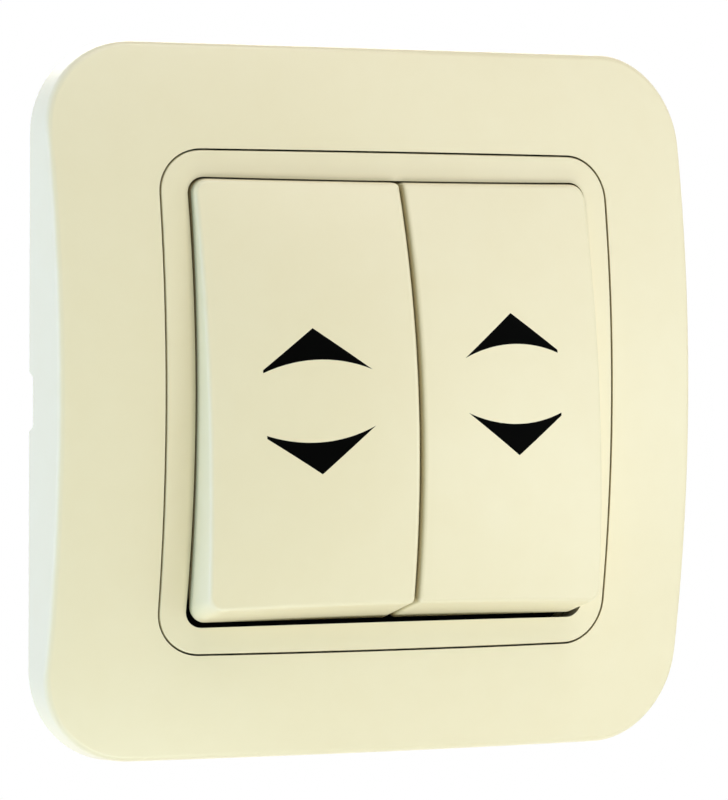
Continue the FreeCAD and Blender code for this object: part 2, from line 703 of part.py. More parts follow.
keep(trim_ring(), "trim_ring")


# Yoke: the steel plate that two screws hold on the wall box

def yoke():
    sheet = rounded_block("yoke", "yoke_side", "yoke_side", "yoke_corner",
                          "0", "yoke_thickness")
    openings = [rounded_block("window", "window_width", "window_height", "window_corner",
                              "-overrun", "yoke_thickness + overrun")]
    for sign in SIDES.values():
        half_pitch = f"{sign} * box_screw_pitch / 2"
        for across, up in ((half_pitch, "0"), ("0", half_pitch)):
            openings.append(rod("box_screw_hole", "box_screw_hole / 2", across, up,
                                "-yoke_thickness - overrun", "overrun"))
        for up in ENDS.values():
            openings.append(rod("screw_hole", "screw_shank + screw_play",
                                f"{sign} * screw_across", f"{up} * screw_up",
                                "-yoke_thickness - overrun", "overrun"))
            openings.append(box(
                "latch_slot", span(sign, "latch_inner - latch_slot_play",
                                   "latch_inner + latch_thickness + latch_slot_play"),
                ("-yoke_thickness - overrun", "overrun"),
                (f"{up} * latch_place - latch_width / 2 - latch_slot_play",
                 f"{up} * latch_place + latch_width / 2 + latch_slot_play")))
    return cut(sheet, fuse(*openings))


keep(yoke(), "yoke")


# Rocker caps, with their inlaid arrow marks

def cap_section(owner, side, place, drop, inset, lowering, back):
    """One level section of a cap: an arc whose top is at the joint of the two caps."""
    sketch = sketch_on(owner, "XY_Plane", away=place)
    reach = f"(({place}) * ({place}) / (2 * rocker_upright_radius))"
    crest = f"(rocker_crest - {reach} - ({lowering}))"
    radius = f"((rocker_outer * rocker_outer + {drop} * {drop}) / (2 * {drop}))"
    near = f"(rocker_inner + {inset})"
    far = f"(rocker_outer - {inset})"
    first, last = (near, far) if SIDES[side] > 0 else (f"-{far}", f"-{near}")
    down = -math.pi / 2
    arc = Part.ArcOfCircle(
        Part.Circle(FreeCAD.Vector(0, number(f"{radius} - {crest}"), 0),
                    FreeCAD.Vector(0, 0, 1), number(radius)),
        down + math.asin(number(f"{first} / {radius}")),
        down + math.asin(number(f"{last} / {radius}")))
    sketch.addGeometry(arc, False)

    def surface(across):
        return f"{radius} - {crest} - sqrt({radius} * {radius} - {across} * {across})"

    corners = [FreeCAD.Vector(number(across), number(up), 0) for across, up in (
        (last, surface(last)), (last, f"-({back})"), (first, f"-({back})"),
        (first, surface(first)))]
    for start, stop in zip(corners, corners[1:]):
        sketch.addGeometry(Part.LineSegment(start, stop), False)
    for this, following in ((0, 1), (1, 2), (2, 3), (3, 0)):
        sketch.addConstraint(Sketcher.Constraint("Coincident", this, 2, following, 1))
    bound_radius(sketch, 0, radius)
    pin(sketch, 0, 3, "0", f"{radius} - {crest}")
    pin_one(sketch, "DistanceX", 0, 1, first)
    pin_one(sketch, "DistanceX", 0, 2, last)
    pin(sketch, 2, 1, last, f"-({back})")
    pin(sketch, 2, 2, first, f"-({back})")
    return sketch


def cap_blank(side, inset, lowering, back):
    """A solid cap: three sections joined, the ends cut off slanting outwards to the back."""
    owner = body("cap_blank")
    reach = "rocker_section_reach"
    sections = [cap_section(owner, side, place, drop, inset, lowering, back)
                for place, drop in ((f"-{reach}", "rocker_end_drop"),
                                    ("0", "rocker_side_drop"),
                                    (reach, "rocker_end_drop"))]
    loft = owner.newObject("PartDesign::AdditiveLoft", fresh("loft"))
    loft.Profile = sections[0]
    loft.Sections = sections[1:]
    doc.recompute()
    ends = sketch_on(owner, "YZ_Plane")
    front, rear = "-rocker_crest - overrun", f"-({back}) + overrun"
    outside = f"{reach} + rocker_section_overrun"
    for sign in ENDS.values():
        def wall(depth):
            return (f"{sign} * (rocker_end - ({inset}) / cos(rocker_end_lean)"
                    f" + (rocker_end_height + ({depth})) * tan(rocker_end_lean))")
        outline(ends, [(front, wall(front)), (rear, wall(rear)),
                       (rear, f"{sign} * ({outside})"), (front, f"{sign} * ({outside})")])
    pocket(owner, ends)
    return owner


def round_cap(owner, side):
    """Rounds the upright corners and then the rim of the cap's face."""
    shape = owner.Tip.Shape
    uprights = edges_along(shape, ALONG_Y)
    outer = [edge for edge in uprights
             if abs(shape.Edges[edge - 1].CenterOfMass.x) > number("gang_pitch / 2")]
    fillet(owner, outer, "rocker_corner")
    shape = owner.Tip.Shape
    inner = [edge for edge in edges_along(shape, ALONG_Y)
             if abs(shape.Edges[edge - 1].CenterOfMass.x) < number("gang_pitch / 4")]
    fillet(owner, inner, "rocker_joint_corner")
    fillet(owner, front_face_edges(owner.Tip.Shape), "rocker_edge_round")


def mark_prism(side, end):
    """An arrowhead with an arched base and a blunt outer tip, a prism through the cap's face."""
    name = f"{side}_{end}"
    outwards = SIDES[side] * ENDS[end]
    owner = body("mark")
    sketch = sketch_on(owner, "XZ_Plane", away="rocker_end_height / 2")
    half = "mark_width / 2"
    radius = f"(({half} * {half} + mark_hollow * mark_hollow) / (2 * mark_hollow))"
    sweep = math.asin(number(f"{half} / {radius}"))
    arc = Part.ArcOfCircle(
        Part.Circle(FreeCAD.Vector(0, number(f"mark_hollow - {radius}"), 0),
                    FreeCAD.Vector(0, 0, 1), number(radius)),
        math.pi / 2 - sweep, math.pi / 2 + sweep)
    sketch.addGeometry(arc, False)
    blunt = (f"{outwards} * {half}", "mark_tip")
    point = (f"{outwards} * mark_point_shift", "mark_height")
    corners = [(f"-{half}", "0"), *((point, blunt) if outwards > 0 else (blunt, point)),
               (half, "0")]
    places = [FreeCAD.Vector(number(across), number(up), 0) for across, up in corners]
    for start, stop in zip(places, places[1:]):
        sketch.addGeometry(Part.LineSegment(start, stop), False)
    for this, following in ((0, 1), (1, 2), (2, 3), (3, 0)):
        sketch.addConstraint(Sketcher.Constraint("Coincident", this, 2, following, 1))
    bound_radius(sketch, 0, radius)
    pin(sketch, 0, 3, "0", f"mark_hollow - {radius}")
    pin_one(sketch, "DistanceX", 0, 1, half)
    pin_one(sketch, "DistanceX", 0, 2, f"-{half}")
    pin(sketch, 2, 1, *corners[1])
    pin(sketch, 2, 2, *corners[2])
    pad(owner, sketch, "rocker_crest")
    turn = 180 if ENDS[end] < 0 else 0
    owner.Placement = FreeCAD.Placement(
        FreeCAD.Vector(0, 0, 0), FreeCAD.Rotation(ALONG_Y, turn - number(f"{name}_lean")))
    bind(owner, "Placement.Rotation.Angle", f"{turn} - {name}_lean")
    bind(owner, "Placement.Base.x", f"{name}_across")
    bind(owner, "Placement.Base.z", f"{name}_base")
    return owner


def rocker(side):
    middle = gang_middle(side)
    outer = cap_blank(side, "0", "0", "rocker_skirt")
    round_cap(outer, side)
    sunk = cap_blank(side, "-1", "mark_inlay", "rocker_skirt")
    hollow = cap_blank(side, "cap_wall", "cap_wall", "cradle_back - 2 * overrun")
    marks = {end: common(cut(mark_prism(side, end), sunk), outer) for end in ENDS}
    inner = []
    for sign in SIDES.values():
        rib = f"{middle} + {sign} * rib_spread"
        inner.append(common(box(
            "rib", (f"{rib} - rib_thickness / 2", f"{rib} + rib_thickness / 2"),
            ("-rocker_crest", "-cradle_front"), ("-rib_length / 2", "rib_length / 2")), hollow))
        for up in ENDS.values():
            clip = f"{middle} + {sign} * clip_spread"
            places = (f"{clip} - clip_width / 2", f"{clip} + clip_width / 2")
            inner.append(common(box(
                "clip", places, ("-rocker_crest", "-cradle_back + clip_play + clip_nose"),
                span(up, "cradle_length / 2 + clip_play",
                     "cradle_length / 2 + clip_play + clip_thickness")), hollow))
            inner.append(box(
                "clip_nose", places,
                ("-cradle_back + clip_play", "-cradle_back + clip_play + clip_nose"),
                span(up, "cradle_length / 2 + clip_play - clip_hook",
                     "cradle_length / 2 + clip_play + clip_thickness / 2")))
    cap = fuse(cut(outer, hollow, *marks.values()), *inner)
    keep(tilt(cap, "-rocker_tilt", "-pivot_height"), f"{side}_rocker_cap")
    for end, mark in marks.items():
        seen = group(mark)
        keep(tilt(seen, "-rocker_tilt", "-pivot_height"), f"{side}_{end}_arrow")


# Cradles: each carries a cap on its two stubs and guides two plungers

def pole_places(side):
    return [pole_place(side, pole) for pole in POLES]


def cradle(side):
    middle = gang_middle(side)
    pieces = [box("cradle_plate",
                  (f"{middle} - cradle_width / 2", f"{middle} + cradle_width / 2"),
                  ("-cradle_front", "-cradle_back"),
                  ("-cradle_length / 2", "cradle_length / 2"))]
    for sign in SIDES.values():
        outside = f"({middle} + {sign} * cradle_width / 2)"
        low, high = span(sign, "cradle_width / 2 - ear_thickness", "cradle_width / 2")
        pieces.append(box("ear", (f"{middle} + {low}", f"{middle} + {high}"),
                          ("-cradle_front + cradle_plate / 2", "-ear_end_height"),
                          ("-ear_width / 2", "ear_width / 2")))
        low, high = span(sign, "cradle_width / 2 - ear_thickness / 2",
                         "cheek_inner + cheek_thickness - cheek_gap")
        pieces.append(cross_rod("stub", "stub_radius", f"{middle} + {low}",
                                f"{middle} + {high}", "-pivot_height"))
    bores = []
    for place in pole_places(side):
        pieces.append(rod("guide_tube", "tube_radius", place, "0",
                          "-cradle_front + cradle_plate / 2", "tube_depth"))
        bores.append(rod("bore", "tube_bore", place, "0", "-cradle_back",
                         "tube_depth - tube_shoulder"))
        bores.append(rod("exit_bore", "plunger_shank + plunger_play", place, "0",
                         "head_depth", "tube_depth + overrun"))
    whole = cut(fuse(*pieces), *bores)
    keep(tilt(whole, "-rocker_tilt", "-pivot_height"), f"{side}_cradle")


def plunger(side, pole):
    place = pole_place(side, pole)
    head = rod("plunger_head", "tube_bore - plunger_play", place, "0",
               "head_depth", "tube_depth - tube_shoulder")
    shank = rod("plunger_shank", "plunger_shank", place, "0",
                "head_depth + plunger_head / 2", "tip_depth - plunger_shank")
    tip = doc.addObject("Part::Sphere", fresh("plunger_tip"))
    bind(tip, "Radius", "plunger_shank")
    bind(tip, "Placement.Base.x", place)
    bind(tip, "Placement.Base.y", "tip_depth - plunger_shank")
    whole = fuse(head, shank, tip)
    keep(tilt(whole, "-rocker_tilt", "-pivot_height"), f"{side}_{pole}_plunger")


def plunger_spring(side, pole):
    """A coil spring round the plunger's axis, from the bore's end to the plunger."""
    owner = body("coil")
    sketch = sketch_on(owner, "XY_Plane")
    circle(sketch, "coil_radius", "spring_front + coil_wire / 2", "coil_wire / 2")
    helix = owner.newObject("PartDesign::AdditiveHelix", fresh("helix"))
    helix.Profile = sketch
    helix.ReferenceAxis = (sketch, ["V_Axis"])
    helix.Mode = "height-turns-angle"
    bind(helix, "Height", "head_depth - spring_front - coil_wire")
    bind(helix, "Turns", "coil_turns")
    doc.recompute()
    tilt(owner, "-rocker_tilt", "-pivot_height")
    bind(owner, "Placement.Base.x", pole_place(side, pole))
    keep(owner, f"{side}_{pole}_plunger_spring")


# Mechanism cover: the flange behind the yoke, with the cheeks the stubs turn in

def mechanism_cover():
    pieces = [plate("flange", "0", "flange_thickness",
                    chamfered_rectangle("flange_width", "flange_height", "flange_chamfer"))]
    openings = []
    for side in SIDES:
        middle = gang_middle(side)
        openings.append(box(
            "tube_slot", (f"{middle} - tube_slot_width / 2", f"{middle} + tube_slot_width / 2"),
            ("-overrun", "flange_thickness + overrun"),
            ("-tube_slot_height / 2", "tube_slot_height / 2")))
        for sign in SIDES.values():
            low, high = span(sign, "cheek_inner", "cheek_inner + cheek_thickness")
            places = (f"{middle} + {low}", f"{middle} + {high}")
            pieces.append(box("cheek", places, ("-cheek_height", "flange_thickness / 2"),
                              ("-cheek_width / 2", "cheek_width / 2")))
            openings.append(cross_rod("pivot_hole", "stub_radius + stub_play",
                                      f"{places[0]} - cheek_gap / 2",
                                      f"{places[1]} + cheek_gap / 2",
                                      "-pivot_height"))
        for up in ENDS.values():
            openings.append(rod("screw_hole", "screw_shank + screw_play",
                                f"{SIDES[side]} * screw_across", f"{up} * screw_up",
                                "-overrun", "flange_thickness + overrun"))
    return cut(fuse(*pieces), *openings)


# Mechanism base: the housing, with posts, partition, barriers and wire entries

def mechanism_base():
    outside = plate("base", "flange_thickness", "base_depth - flange_thickness",
                    chamfered_rectangle("base_width", "base_height", "base_chamfer"))
    hollow = box("base_hollow", ("-base_width / 2 + base_wall", "base_width / 2 - base_wall"),
                 ("0", "floor_depth"), ("-base_inner_up", "base_inner_up"))
    inner = [box("partition", ("-partition_wall / 2", "partition_wall / 2"),
                 ("flange_thickness", "floor_depth + base_floor / 2"),
                 ("-base_inner_up - base_wall / 2", "base_inner_up + base_wall / 2"))]
    openings = []
    for side, side_sign in SIDES.items():
        middle = gang_middle(side)
        for up in ENDS.values():
            inner.append(box(
                "barrier", span(side_sign, "partition_wall / 4", "base_width / 2 - base_wall / 2"),
                ("barrier_front", "barrier_back"),
                span(up, "barrier_place", "barrier_place + barrier_wall")))
            inner.append(rod("screw_post", "post_radius", f"{side_sign} * screw_across",
                             f"{up} * screw_up", "flange_thickness",
                             "floor_depth + base_floor / 2"))
            openings.append(rod("screw_hole", "screw_shank + screw_play",
                                f"{side_sign} * screw_across", f"{up} * screw_up",
                                "0", "screw_reach + screw_play"))
        for level, sign in (("upper_link_depth", 1), ("lower_link_depth", -1)):
            for up in ENDS.values():
                across = f"{middle} - {sign * up} * pillar_across"
                inner.append(box(
                    "pillar", (f"{across} - pillar_width / 2", f"{across} + pillar_width / 2"),
                    (f"{level} + strip_thickness", "floor_depth + base_floor / 2"),
                    (f"{up} * pillar_up - pillar_width / 2",
                     f"{up} * pillar_up + pillar_width / 2")))
            across = f"{middle} + {sign} * pole_pitch / 2"
            inner.append(box(
                "end_pillar", (f"{across} - pillar_width / 2", f"{across} + pillar_width / 2"),
                (f"{level} + strip_thickness", "floor_depth + base_floor / 2"),
                ("-contact_arm - pad_radius", "-contact_arm - contact_tail_radius - rivet_play")))
        for place in pole_places(side):
            for up in ENDS.values():
                openings.append(rod("wire_entry", "wire_hole", place, f"{up} * wire_place",
                                    "floor_depth - overrun", "base_depth + overrun"))
                openings.append(box(
                    "release_slot",
                    (f"{place} - release_width / 2", f"{place} + release_width / 2"),
                    ("floor_depth - overrun", "base_depth + overrun"),
                    (f"{up} * release_place - release_height / 2",
                     f"{up} * release_place + release_height / 2")))
    return cut(fuse(cut(outside, hollow), *inner), *openings)


def housing_screws():
    screws = []
    for across in SIDES.values():
        for up in ENDS.values():
            place = (f"{across} * screw_across", f"{up} * screw_up")
            head = rod("screw_head", "screw_head", *place,
                       "-yoke_thickness - screw_head_height", "-yoke_thickness")
            shank = rod("screw_shank", "screw_shank", *place,
                        "-yoke_thickness - screw_head_height / 2", "screw_reach")
            slot = box("driver_slot",
                       (f"{place[0]} - screw_head - overrun", f"{place[0]} + screw_head + overrun"),
                       ("-yoke_thickness - screw_head_height - overrun",
                        "-yoke_thickness - screw_head_height / 2"),
                       (f"{place[1]} - screw_slot / 2", f"{place[1]} + screw_slot / 2"))
            screws.append(cut(fuse(head, shank), slot))
    return group(*screws)


# Contact levers, which tip on the rounded fulcrums of the common strips

def lever(side, pole):
    place = pole_place(side, pole)
    pieces = [box("lever", (f"{place} - lever_width / 2", f"{place} + lever_width / 2"),
                  ("lever_front", "lever_back"), ("-lever_reach", "lever_reach"))]
    for sign in SIDES.values():
        low, high = span(sign, "fulcrum_width / 2 + guide_tab_play",
                         "fulcrum_width / 2 + guide_tab_play + guide_tab")
        pieces.append(box("guide_tab", (f"{place} + {low}", f"{place} + {high}"),
                          ("lever_front + lever_thickness / 2", "lever_back + guide_tab_length"),
                          ("-guide_tab_length", "guide_tab_length")))
    holes = [rod("contact_hole", "contact_shank", place, f"{up} * contact_arm",
                 "lever_front - overrun", "lever_back + overrun") for up in ENDS.values()]
    whole = cut(fuse(*pieces), *holes)
    keep(tilt(whole, "lever_tilt", "fulcrum_depth"), f"{side}_{pole}_lever")


def moving_contacts(side, pole):
    place = pole_place(side, pole)
    contacts = []
    for up in ENDS.values():
        height = f"{up} * contact_arm"
        crown = doc.addObject("Part::Cone", fresh("crown"))
        bind(crown, "Radius1", "contact_radius")
        bind(crown, "Radius2", "contact_flat")
        bind(crown, "Height", "contact_head - contact_rim")
        crown.Placement.Rotation = FreeCAD.Rotation(ALONG_X, -90)
        bind(crown, "Placement.Base.x", place)
        bind(crown, "Placement.Base.y", "lever_back + contact_rim")
        bind(crown, "Placement.Base.z", height)
        contacts.append(fuse(
            crown,
            rod("rim", "contact_radius", place, height, "lever_back",
                "lever_back + contact_rim"),
            rod("shank", "contact_shank", place, height, "lever_front - contact_tail / 2",
                "lever_back + contact_rim / 2"),
            rod("tail", "contact_tail_radius", place, height, "lever_front - contact_tail",
                "lever_front")))
    keep(tilt(group(*contacts), "lever_tilt", "fulcrum_depth"), f"{side}_{pole}_moving_contacts")


# Brass strips: each common strip ends in a fulcrum, each link joins two contacts

def terminal_holes(place, up, front, back):
    return [rod("wire_hole", "wire_hole", place, f"{up} * wire_place", front, back),
            box("release_hole", (f"{place} - release_width / 2", f"{place} + release_width / 2"),
                (front, back), (f"{up} * release_place - release_height / 2",
                                f"{up} * release_place + release_height / 2"))]


def common_strip(side, pole):
    place = pole_place(side, pole)
    half = "strip_thickness / 2"
    post = strip("fulcrum_post", place, "fulcrum_width", [
        ("fulcrum_depth", half), ("floor_depth", half), ("floor_depth", f"-{half}"),
        ("fulcrum_depth", f"-{half}")])
    edge = cross_rod("fulcrum_edge", half, f"{place} - fulcrum_width / 2",
                     f"{place} + fulcrum_width / 2", "fulcrum_depth")
    foot = strip("common_foot", place, "strip_width", [
        ("floor_depth - strip_thickness", f"-{half}"), ("floor_depth", f"-{half}"),
        ("floor_depth", "tab_outer"), ("tab_depth", "tab_outer"),
        ("tab_depth", "tab_outer - strip_thickness"),
        ("floor_depth - strip_thickness", "tab_outer - strip_thickness")])
    return cut(fuse(post, edge, foot),
               *terminal_holes(place, 1, "floor_depth - 2 * strip_thickness",
                               "floor_depth + overrun"))


def link(side, pole):
    """Joins one pole's upper contact to the other pole's lower contact and a terminal."""
    middle = gang_middle(side)
    sign = POLES[pole]
    depth = "upper_link_depth" if pole == "first" else "lower_link_depth"
    top = f"({middle} + {sign} * pole_pitch / 2)"
    low = f"({middle} - {sign} * pole_pitch / 2)"
    length = "sqrt(pole_pitch * pole_pitch + 4 * contact_arm * contact_arm)"
    across = f"(link_width * contact_arm / {length})"
    up = f"({sign} * link_width / 2 * pole_pitch / {length})"
    back = f"{depth} + strip_thickness"
    pieces = [
        plate("link_bar", depth, "strip_thickness", [
            (f"{top} - {across}", f"contact_arm + {up}"),
            (f"{low} - {across}", f"-contact_arm + {up}"),
            (f"{low} + {across}", f"-contact_arm - {up}"),
            (f"{top} + {across}", f"contact_arm - {up}")]),
        rod("link_pad", "pad_radius", top, "contact_arm", depth, back),
        rod("link_pad", "pad_radius", low, "-contact_arm", depth, back),
        box("link_tail", (f"{low} - strip_width / 2", f"{low} + strip_width / 2"),
            (depth, back), ("-tab_outer", "-contact_arm")),
        box("link_tab", (f"{low} - strip_width / 2", f"{low} + strip_width / 2"),
            ("tab_depth", back), ("-tab_outer", "-tab_outer + strip_thickness"))]
    holes = [rod("rivet_hole", "contact_shank", top, "contact_arm",
                 f"{depth} - overrun", f"{back} + overrun"),
             rod("rivet_hole", "contact_shank", low, "-contact_arm",
                 f"{depth} - overrun", f"{back} + overrun")]
    return cut(fuse(*pieces), *holes,
               *terminal_holes(low, -1, f"{depth} - overrun", f"{back} + overrun"))


def fixed_contacts(side, pole):
    """The two contacts riveted on one link."""
    middle = gang_middle(side)
    sign = POLES[pole]
    depth = "upper_link_depth" if pole == "first" else "lower_link_depth"
    back = f"{depth} + strip_thickness"
    contacts = []
    for up in ENDS.values():
        place = f"({middle} + {sign * up} * pole_pitch / 2)"
        height = f"{up} * contact_arm"
        contacts.append(fuse(
            rod("fixed_head", "fixed_contact_radius", place, height, "contact_depth", depth),
            rod("shank", "contact_shank", place, height, "contact_depth + contact_head / 2",
                f"{back} + contact_tail / 2"),
            rod("tail", "contact_tail_radius", place, height, back, f"{back} + contact_tail")))
    return group(*contacts)


def clamp_spring(side, pole, end):
    """A bent leaf: one leg stands on the barrier, the other presses the wire on its tab."""
    up = ENDS[end]
    anchor = "(barrier_place + barrier_wall)"
    tip = "(tab_outer - strip_thickness - clamp_thickness)"
    points = [("clamp_foot", anchor), ("clamp_apex", anchor),
              ("clamp_apex", f"{anchor} + 2.5 * clamp_thickness"),
              ("clamp_tip", tip), ("clamp_tip + clamp_thickness", f"{tip} - clamp_thickness"),
              ("clamp_apex + 2 * clamp_thickness", f"{anchor} + 1.6 * clamp_thickness"),
              ("clamp_apex + 2 * clamp_thickness", f"{anchor} + clamp_thickness"),
              ("clamp_foot", f"{anchor} + clamp_thickness")]
    return strip("clamp", pole_place(side, pole), "clamp_width",
                 [(depth, f"{up} * {place}" if place.startswith("(") and place.endswith(")")
                   else f"{up} * ({place})") for depth, place in points])


keep(mechanism_cover(), "mechanism_cover")
keep(mechanism_base(), "mechanism_base")
keep(housing_screws(), "housing_screws")
for side_name in SIDES:
    rocker(side_name)
    cradle(side_name)
    for pole_name in POLES:
        stem = f"{side_name}_{pole_name}"
        plunger(side_name, pole_name)
        plunger_spring(side_name, pole_name)
        lever(side_name, pole_name)
        moving_contacts(side_name, pole_name)
        keep(common_strip(side_name, pole_name), f"{stem}_common_strip")
        keep(link(side_name, pole_name), f"{stem}_link")
        keep(fixed_contacts(side_name, pole_name), f"{stem}_fixed_contacts")
        for end_name in ENDS:
            keep(clamp_spring(side_name, pole_name, end_name),
                 f"{stem}_{end_name}_clamp_spring")

doc.recompute()
for item in doc.Objects:
    if "Invalid" in item.State or "Error" in item.State:
        raise RuntimeError(f"{item.Name}: {item.State}")
for part in kept:
    if part.Shape.isNull() or not part.Shape.isValid() or not part.Shape.Solids:
        raise RuntimeError(part.Label + " has no sound shape")

os.makedirs("parts", exist_ok=True)
for part in kept:
    part.Shape.exportStep(f"parts/{part.Label}.step")
    print(part.Label, len(part.Shape.Solids), round(part.Shape.Volume, 2))
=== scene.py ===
# %% [markdown]
# A light switch with two rockers, as it hangs on a wall: a cream, pillow-shaped cover frame,
# a narrow trim ring, two curved rocker caps with inlaid arrowheads, and behind them the steel
# yoke and the housing with the contacts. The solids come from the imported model. This lesson
# gives each of them the finish of its real material, then lights and frames the switch.

import json
import math

import bpy
from mathutils import Matrix, Vector


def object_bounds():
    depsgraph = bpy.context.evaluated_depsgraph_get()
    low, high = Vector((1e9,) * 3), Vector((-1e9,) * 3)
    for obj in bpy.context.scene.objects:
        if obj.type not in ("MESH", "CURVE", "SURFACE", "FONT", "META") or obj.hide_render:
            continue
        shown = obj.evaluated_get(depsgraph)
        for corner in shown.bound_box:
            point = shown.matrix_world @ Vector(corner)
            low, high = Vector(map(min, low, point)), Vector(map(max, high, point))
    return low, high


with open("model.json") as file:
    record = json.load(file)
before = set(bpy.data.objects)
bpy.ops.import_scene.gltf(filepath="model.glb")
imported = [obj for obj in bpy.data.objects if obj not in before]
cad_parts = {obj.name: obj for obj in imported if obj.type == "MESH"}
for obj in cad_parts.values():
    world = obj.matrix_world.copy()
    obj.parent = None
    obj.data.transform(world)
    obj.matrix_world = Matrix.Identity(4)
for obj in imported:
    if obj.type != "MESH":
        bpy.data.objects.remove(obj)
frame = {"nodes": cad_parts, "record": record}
model_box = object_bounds()
nodes = frame["nodes"]
slot_of_node = {part["node"]: part["material_slot"] for part in frame["record"]["subparts"]}
print("nodes", len(nodes), "slots", sorted(set(slot_of_node.values())))

# %% [markdown]
# Sizes are in metres in Blender, but mould grain, rolling marks and wire are thought of in
# millimetres. Colours are picked as sRGB hex values, as a paint chart gives them, and a shader
# wants them linear, so one function turns them.

# %% Units and colours
MM = 0.001


def linear(hex_colour):
    """An sRGB hex colour as the linear RGBA that a shader takes."""
    channels = [int(hex_colour[i:i + 2], 16) / 255 for i in (0, 2, 4)]
    return [c / 12.92 if c <= 0.04045 else ((c + 0.055) / 1.055) ** 2.4 for c in channels] + [1.0]


print("middle grey", [round(c, 3) for c in linear("808080")])

# %% [markdown]
# A procedural material is a small graph. Writing each node with its settings and its links in
# one call keeps the graph readable: a value that is another node's output becomes a link.

# %% A node with its settings and links


def add_node(tree, kind, inputs=None, **settings):
    """Adds a node. settings are its own properties, inputs its sockets' values or links."""
    node = tree.nodes.new(kind)
    for name, value in settings.items():
        setattr(node, name, value)
    for name, value in (inputs or {}).items():
        if isinstance(value, bpy.types.NodeSocket):
            tree.links.new(value, node.inputs[name])
        else:
            node.inputs[name].default_value = value
    return node


def new_material(name):
    """An empty material, its tree and its surface output."""
    material = bpy.data.materials.new(name)
    material.use_nodes = True
    material.node_tree.nodes.clear()
    output = material.node_tree.nodes.new("ShaderNodeOutputMaterial")
    return material, material.node_tree, output


def waves_per_metre(size):
    """A noise texture's scale for features of the given size in metres."""
    return 1 / size


# Most of a noise texture's values lie between these two, so they are stretched to a full range.
NOISE_SPAN = {"From Min": 0.3, "From Max": 0.7}
print("noise is read from", NOISE_SPAN["From Min"], "to", NOISE_SPAN["From Max"])

# %% [markdown]
# The frame, the ring and the caps are moulded from urea, the hard cream plastic of light
# switches: dense, quite glossy, with an IOR near 1.55. A polished mould still leaves a very
# shallow orange peel, which softens the edge of a highlight. Handling leaves the gloss slightly
# uneven, and the cream itself drifts a little in tone over a few millimetres. Where two
# mouldings meet, painted shade darkens the colour. It follows how closed in a place is, within
# one millimetre: nearly black where it is shut in, a thin painted shade where it is half open,
# and none on the open faces. Each shade is a pair of openness, from 0 to 1, and colour.

# %% Moulded urea
CREAM = "F4E6C1"
CREAM_DEEP = "F1E2BB"
WAVINESS = 1.4 * MM
WAVE_HEIGHT = 0.003 * MM
HANDLING = 4.0 * MM
GLOSS_DRIFT = 0.04
UREA_IOR = 1.55
SHADE_REACH = 1.0 * MM
PAINTED_SHADE_STOPS = ((0.0, "14130F"), (0.13, "E6E5DA"), (0.8, "CDCDC2"), (0.93, "FFFFFF"))


def moulded_urea(name, colour, deep_colour, roughness, gloss_level=0.5):
    material, tree, output = new_material(name)
    place = add_node(tree, "ShaderNodeTexCoord").outputs["Object"]
    cloud = add_node(tree, "ShaderNodeTexNoise",
                     {"Vector": place, "Scale": waves_per_metre(HANDLING), "Detail": 3.0})
    tone = add_node(tree, "ShaderNodeMix",
                    {"Factor": cloud.outputs["Fac"], "A": linear(colour),
                     "B": linear(deep_colour)}, data_type="RGBA")
    # Painted shade: the colour is darkened where the surface is closed in, standing in for the
    # shadow in the joints and beside the raised caps.
    open_air = add_node(tree, "ShaderNodeAmbientOcclusion", {"Distance": SHADE_REACH}, samples=8)
    painted_shade_ramp = add_node(tree, "ShaderNodeValToRGB", {"Fac": open_air.outputs["AO"]})
    # A new ramp has two stops already.
    for openness, shade in PAINTED_SHADE_STOPS[2:]:
        painted_shade_ramp.color_ramp.elements.new(openness)
    for element, (openness, shade) in zip(painted_shade_ramp.color_ramp.elements, PAINTED_SHADE_STOPS):
        element.position = openness
        element.color = linear(shade)
    painted_shade_tone = add_node(tree, "ShaderNodeMix",
                     {"Factor": 1.0, "A": tone.outputs["Result"], "B": painted_shade_ramp.outputs["Color"]},
                     data_type="RGBA", blend_type="MULTIPLY")
    gloss = add_node(tree, "ShaderNodeMapRange",
                     {"Value": cloud.outputs["Fac"], "To Min": roughness - GLOSS_DRIFT,
                      "To Max": roughness + GLOSS_DRIFT})
    wave = add_node(tree, "ShaderNodeTexNoise",
                    {"Vector": place, "Scale": waves_per_metre(WAVINESS), "Detail": 1.0})
    bump = add_node(tree, "ShaderNodeBump",
                    {"Height": wave.outputs["Fac"], "Strength": 1.0, "Distance": WAVE_HEIGHT})
    surface = add_node(tree, "ShaderNodeBsdfPrincipled",
                       {"Base Color": painted_shade_tone.outputs["Result"], "Roughness": gloss.outputs["Result"],
                        "IOR": UREA_IOR, "Specular IOR Level": gloss_level,
                        "Normal": bump.outputs["Normal"]})
    tree.links.new(surface.outputs["BSDF"], output.inputs["Surface"])
    return material


cream_urea = moulded_urea("moulded_urea_cream", CREAM, CREAM_DEEP, 0.3)
print(cream_urea.name, "waves of", WAVINESS / MM, "mm")

# %% [markdown]
# The arrowheads are a second, black shot of the same plastic, flush with the cap. The recipe is
# the same, with a darker pair of colours and a matt skin that mirrors next to nothing, because
# the marks read as plain black from every side.

# %% Black second-shot plastic
BLACK = "020202"
BLACK_WORN = "060605"
black_urea = moulded_urea("moulded_urea_black", BLACK, BLACK_WORN, 0.6, gloss_level=0.01)
print(black_urea.name)

# %% [markdown]
# Housings behind the wall are glass-filled polyamide and the cradles are acetal. Both come out
# of spark-eroded moulds, so their skin is a fine, even grain instead of a gloss. A cell pattern
# gives that grain its rounded pits. At a true 0.1 mm it wouldn't show, so it is drawn coarser.
# The melt's flow leaves broad, faint clouds in the tone and in the gloss.
# The yoke's black dip coating dries with the same fine, matt grain, so it takes this recipe too.

# %% Grained engineering plastics
GRAIN = 0.35 * MM
GRAIN_DEPTH = 0.03 * MM
FLOW_CLOUD = 8.0 * MM
SKIN_DRIFT = 0.06
HOUSING_IOR = 1.53


